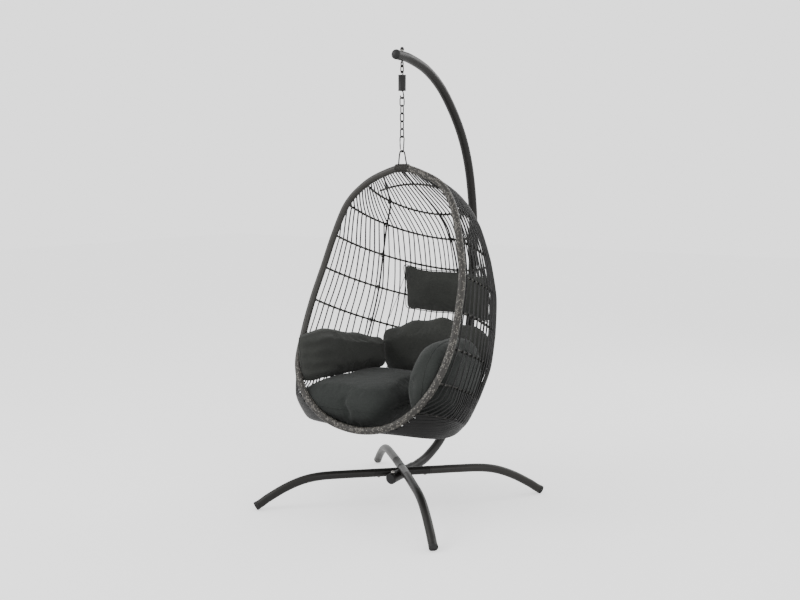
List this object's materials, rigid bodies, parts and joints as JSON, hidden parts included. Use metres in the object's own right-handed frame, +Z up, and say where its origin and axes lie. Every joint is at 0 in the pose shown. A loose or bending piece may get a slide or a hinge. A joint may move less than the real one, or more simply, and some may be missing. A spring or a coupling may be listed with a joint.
{
  "type": "hanging egg chair",
  "caption": "Hanging egg chair: a wicker basket with loose cushions hangs by a chain and spring from a curved steel post on a low crossed base",
  "frame": {"origin": "centre of the bounding box at floor level", "axes": "+Z up, the open front of the basket faces -Y, +X is the chair's left seen from the front, which is the right of a front view"},
  "size_m": [0.9228, 1.0754, 1.9326],
  "materials": {
    "powder_coated_steel": "matt dark grey powder coat",
    "dark_hardware": "dark oiled steel",
    "black_plastic": "matt black moulding",
    "wicker_over_metal": "metal tube and wire wound and braided with flat strand, semi-matt",
    "wicker": "thin round strand, semi-matt",
    "cushion_fabric": "woven charcoal cloth over a soft filling"
  },
  "bodies": {
    "stand": {"hub_weldment": "powder_coated_steel", "leg_front_left": "powder_coated_steel", "leg_front_right": "powder_coated_steel", "leg_rear_right": "powder_coated_steel", "leg_rear_left": "powder_coated_steel", "foot_cap_front_left": "black_plastic", "foot_cap_front_right": "black_plastic", "foot_cap_rear_right": "black_plastic", "foot_cap_rear_left": "black_plastic", "leg_bolt_front_left": "dark_hardware", "leg_bolt_front_right": "dark_hardware", "leg_bolt_rear_right": "dark_hardware", "leg_bolt_rear_left": "dark_hardware", "post_lower": "powder_coated_steel", "post_upper": "powder_coated_steel", "post_top_cap": "black_plastic", "post_bottom_cap": "black_plastic", "post_lock_bolt": "dark_hardware", "eye_bolt": "dark_hardware", "eye_bolt_washer": "dark_hardware", "eye_bolt_cap_nut": "black_plastic"},
    "upper_link": {"upper_link": "dark_hardware"},
    "spring_top": {"spring_top_hook": "dark_hardware", "spring_coil": "dark_hardware"},
    "spring_cover": {"spring_sleeve": "black_plastic"},
    "chain": {"spring_lower_hook": "dark_hardware", "chain_link_1": "dark_hardware", "chain_link_2": "dark_hardware", "chain_link_3": "dark_hardware", "chain_link_4": "dark_hardware", "chain_link_5": "dark_hardware", "carabiner_body": "dark_hardware"},
    "gate": {"carabiner_gate": "dark_hardware"},
    "basket": {"hanging_loop": "dark_hardware", "rim": "wicker_over_metal", "hoop_1": "wicker_over_metal", "hoop_2": "wicker_over_metal", "hoop_3": "wicker_over_metal", "hoop_4": "wicker_over_metal", "hoop_5": "wicker_over_metal", "hoop_6": "wicker_over_metal", "hoop_7": "wicker_over_metal", "hoop_8": "wicker_over_metal", "hoop_9": "wicker_over_metal", "crossbar": "wicker_over_metal", "rib_left": "wicker_over_metal", "rib_centre": "wicker_over_metal", "rib_right": "wicker_over_metal", "rib_top_left": "wicker_over_metal", "rib_top_centre": "wicker_over_metal", "rib_top_right": "wicker_over_metal", "wicker_net_left": "wicker", "wicker_net_back_left": "wicker", "wicker_net_back_right": "wicker", "wicker_net_right": "wicker", "seat_cushion": "cushion_fabric", "back_cushion": "cushion_fabric", "left_wing_cushion": "cushion_fabric", "right_wing_cushion": "cushion_fabric", "head_pillow": "cushion_fabric"}
  },
  "joints": [
    {"name": "side_sway", "type": "hinge", "parent": "stand", "child": "upper_link", "pos_m": [0, -0.0763, 1.8515], "axis": [0, 1, 0], "range_deg": [-8, 8]},
    {"name": "fore_aft_swing", "type": "hinge", "parent": "upper_link", "child": "spring_top", "pos_m": [0, -0.0763, 1.8289], "axis": [-1, 0, 0], "range_deg": [-1.5, 15]},
    {"name": "spring_stretch", "type": "slide", "parent": "spring_top", "child": "spring_cover", "axis": [0, 0, -1], "range_m": [0, 0.03], "stiffness_N_per_m": 8000, "springref_m": -0.022, "deforming": ["spring_coil"]},
    {"name": "swivel", "type": "hinge", "parent": "spring_cover", "child": "chain", "pos_m": [0, -0.0763, 1.754], "axis": [0, 0, 1], "range_deg": [-90, 90]},
    {"name": "gate_opening", "type": "hinge", "parent": "chain", "child": "gate", "pos_m": [-0.00315, -0.08409, 1.5106], "axis": [-0.9272, 0.3746, 0], "range_deg": [0, 20], "stiffness_Nm_per_rad": 0.02},
    {"name": "basket_tilt", "type": "hinge", "parent": "chain", "child": "basket", "pos_m": [0, -0.0763, 1.5085], "axis": [-1, 0, 0], "range_deg": [-1.2, 10]}
  ]
}
